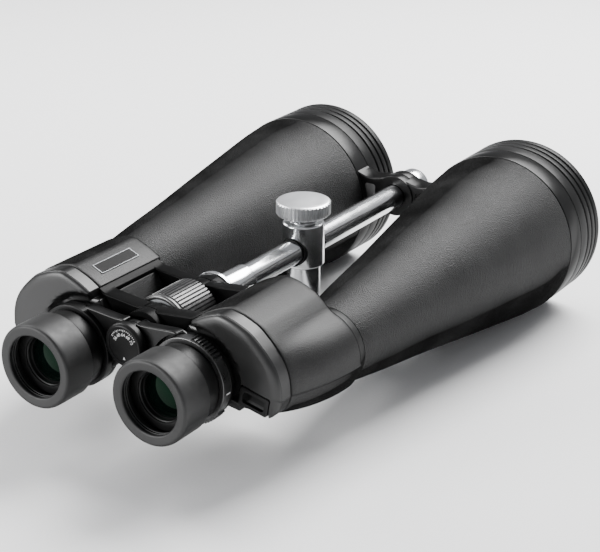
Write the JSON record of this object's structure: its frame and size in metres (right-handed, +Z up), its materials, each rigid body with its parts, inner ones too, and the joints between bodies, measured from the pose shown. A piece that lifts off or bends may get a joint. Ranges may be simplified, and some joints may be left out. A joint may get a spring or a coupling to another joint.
{
  "type": "binoculars",
  "caption": "Large porro-prism binoculars with folding centre hinge, centre focus wheel, bright centre rod and a sliding tripod post.",
  "frame": {"origin": "middle of the length and width, on the surface that the front rims and the tripod post stand on", "axes": "+Y from the eyepieces towards the objectives along the optical axes, +X to the user's right, +Z up"},
  "size_m": [0.236, 0.3232, 0.0973],
  "materials": {
    "armour": "matte",
    "satin_black": "satin",
    "matte_black": "satin",
    "soft_rubber": "satin",
    "lens_glass": "polished",
    "prism_glass": "polished",
    "bracket": "satin",
    "bright_metal": "polished",
    "steel": "satin",
    "brass": "satin"
  },
  "bodies": {
    "center": {"center_rod": "bright_metal", "hinge_shaft": "steel", "hinge_bushing": "steel", "rod_washer": "bright_metal", "rod_end_cap": "bright_metal"},
    "right_half": {"right_barrel": "armour", "right_objective_cell": "satin_black", "right_objective_lens": "lens_glass", "right_lens_retainer": "matte_black", "right_front_bridge": "matte_black", "right_prism_housing": "armour", "right_rear_cover": "satin_black", "right_strap_lug": "satin_black", "right_hinge_frame": "matte_black", "right_rear_prism": "prism_glass", "right_front_prism": "prism_glass", "right_prism_shelf": "bracket"},
    "left_half": {"left_barrel": "armour", "left_objective_cell": "satin_black", "left_objective_lens": "lens_glass", "left_lens_retainer": "matte_black", "left_front_bridge": "matte_black", "left_prism_housing": "armour", "left_rear_cover": "satin_black", "left_strap_lug": "satin_black", "left_hinge_frame": "matte_black", "left_rear_prism": "prism_glass", "left_front_prism": "prism_glass", "left_prism_shelf": "bracket"},
    "wheel": {"focus_wheel": "bracket", "focus_wheel_grip": "soft_rubber"},
    "carriage": {"focus_tube": "steel", "hinge_cap": "satin_black"},
    "right_bridge": {"right_bridge_arm": "matte_black"},
    "left_bridge": {"left_bridge_arm": "matte_black", "left_ocular_body": "satin_black", "left_eye_lens": "lens_glass", "left_field_lens": "lens_glass", "left_ocular_ring": "satin_black"},
    "right_eyepiece": {"right_ocular_body": "satin_black", "right_eye_lens": "lens_glass", "right_field_lens": "lens_glass"},
    "dioptre": {"dioptre_ring": "satin_black"},
    "right_cup_ring": {"right_cup_cam_ring": "matte_black"},
    "right_cup": {"right_eyecup": "soft_rubber"},
    "left_cup_ring": {"left_cup_cam_ring": "matte_black"},
    "left_cup": {"left_eyecup": "soft_rubber"},
    "post_slider": {"post_bush": "matte_black"},
    "post": {"post_sleeve": "bright_metal", "post_stem": "bright_metal", "tripod_insert": "brass"},
    "clamp": {"clamp_shoe": "brass"},
    "knob": {"clamp_knob": "bright_metal", "clamp_screw": "steel"}
  },
  "joints": [
    {"name": "right_fold", "type": "hinge", "parent": "center", "child": "right_half", "pos_m": [0, -0.12535, 0.05997], "axis": [0, 1, 0], "range_deg": [-8, 23]},
    {"name": "left_fold", "type": "hinge", "parent": "center", "child": "left_half", "pos_m": [0, -0.12535, 0.05997], "axis": [0, 1, 0], "range_deg": [-23, 8]},
    {"name": "focus_turn", "type": "hinge", "parent": "center", "child": "wheel", "pos_m": [0, -0.12535, 0.05997], "axis": [0, 1, 0], "range_deg": [-640, 64]},
    {"name": "carriage_slide", "type": "slide", "parent": "center", "child": "carriage", "axis": [0, 1, 0], "range_m": [-0.0089, 0.00089]},
    {"name": "right_bridge_fold", "type": "hinge", "parent": "carriage", "child": "right_bridge", "pos_m": [0, -0.12535, 0.05997], "axis": [0, 1, 0], "range_deg": [-8.1, 23.1]},
    {"name": "left_bridge_fold", "type": "hinge", "parent": "carriage", "child": "left_bridge", "pos_m": [0, -0.12535, 0.05997], "axis": [0, 1, 0], "range_deg": [-23.1, 8.1]},
    {"name": "dioptre_turn", "type": "hinge", "parent": "right_bridge", "child": "dioptre", "pos_m": [0.035, -0.12535, 0.04947], "axis": [0, 1, 0], "range_deg": [-45.1, 45.1]},
    {"name": "dioptre_slide", "type": "slide", "parent": "right_bridge", "child": "right_eyepiece", "axis": [0, 1, 0], "range_m": [-0.0012, 0.0012]},
    {"name": "right_cup_turn", "type": "hinge", "parent": "right_eyepiece", "child": "right_cup_ring", "pos_m": [0.035, -0.12535, 0.04947], "axis": [0, 1, 0], "range_deg": [0, 90.1]},
    {"name": "right_cup_slide", "type": "slide", "parent": "right_cup_ring", "child": "right_cup", "axis": [0, -1, 0], "range_m": [0, 0.0075]},
    {"name": "left_cup_turn", "type": "hinge", "parent": "left_bridge", "child": "left_cup_ring", "pos_m": [-0.035, -0.12535, 0.04947], "axis": [0, 1, 0], "range_deg": [0, 90.1]},
    {"name": "left_cup_slide", "type": "slide", "parent": "left_cup_ring", "child": "left_cup", "axis": [0, -1, 0], "range_m": [0, 0.0075]},
    {"name": "post_slide", "type": "slide", "parent": "center", "child": "post_slider", "axis": [0, 1, 0], "range_m": [-0.042, 0.03]},
    {"name": "post_swing", "type": "hinge", "parent": "post_slider", "child": "post", "pos_m": [0, 0.02205, 0.05997], "axis": [0, 1, 0], "range_deg": [-8, 8]},
    {"name": "clamp_lift", "type": "slide", "parent": "post", "child": "clamp", "axis": [0, 0, 1], "range_m": [0, 0.002]},
    {"name": "knob_turn", "type": "hinge", "parent": "clamp", "child": "knob", "pos_m": [0, 0.02205, 0.05997], "axis": [0, 0, 1], "range_deg": [0, 721]}
  ],
  "couplings": [
    {"joint": "left_fold", "follows": "right_fold", "ratio": -1},
    {"joint": "right_bridge_fold", "follows": "right_fold", "ratio": 1},
    {"joint": "left_bridge_fold", "follows": "right_fold", "ratio": -1},
    {"joint": "focus_turn", "follows": "carriage_slide", "rad_per_m": 1250},
    {"joint": "dioptre_turn", "follows": "dioptre_slide", "rad_per_m": 654.5},
    {"joint": "right_cup_turn", "follows": "right_cup_slide", "rad_per_m": 209.44},
    {"joint": "left_cup_turn", "follows": "left_cup_slide", "rad_per_m": 209.44},
    {"joint": "knob_turn", "follows": "clamp_lift", "rad_per_m": 6283.2}
  ]
}
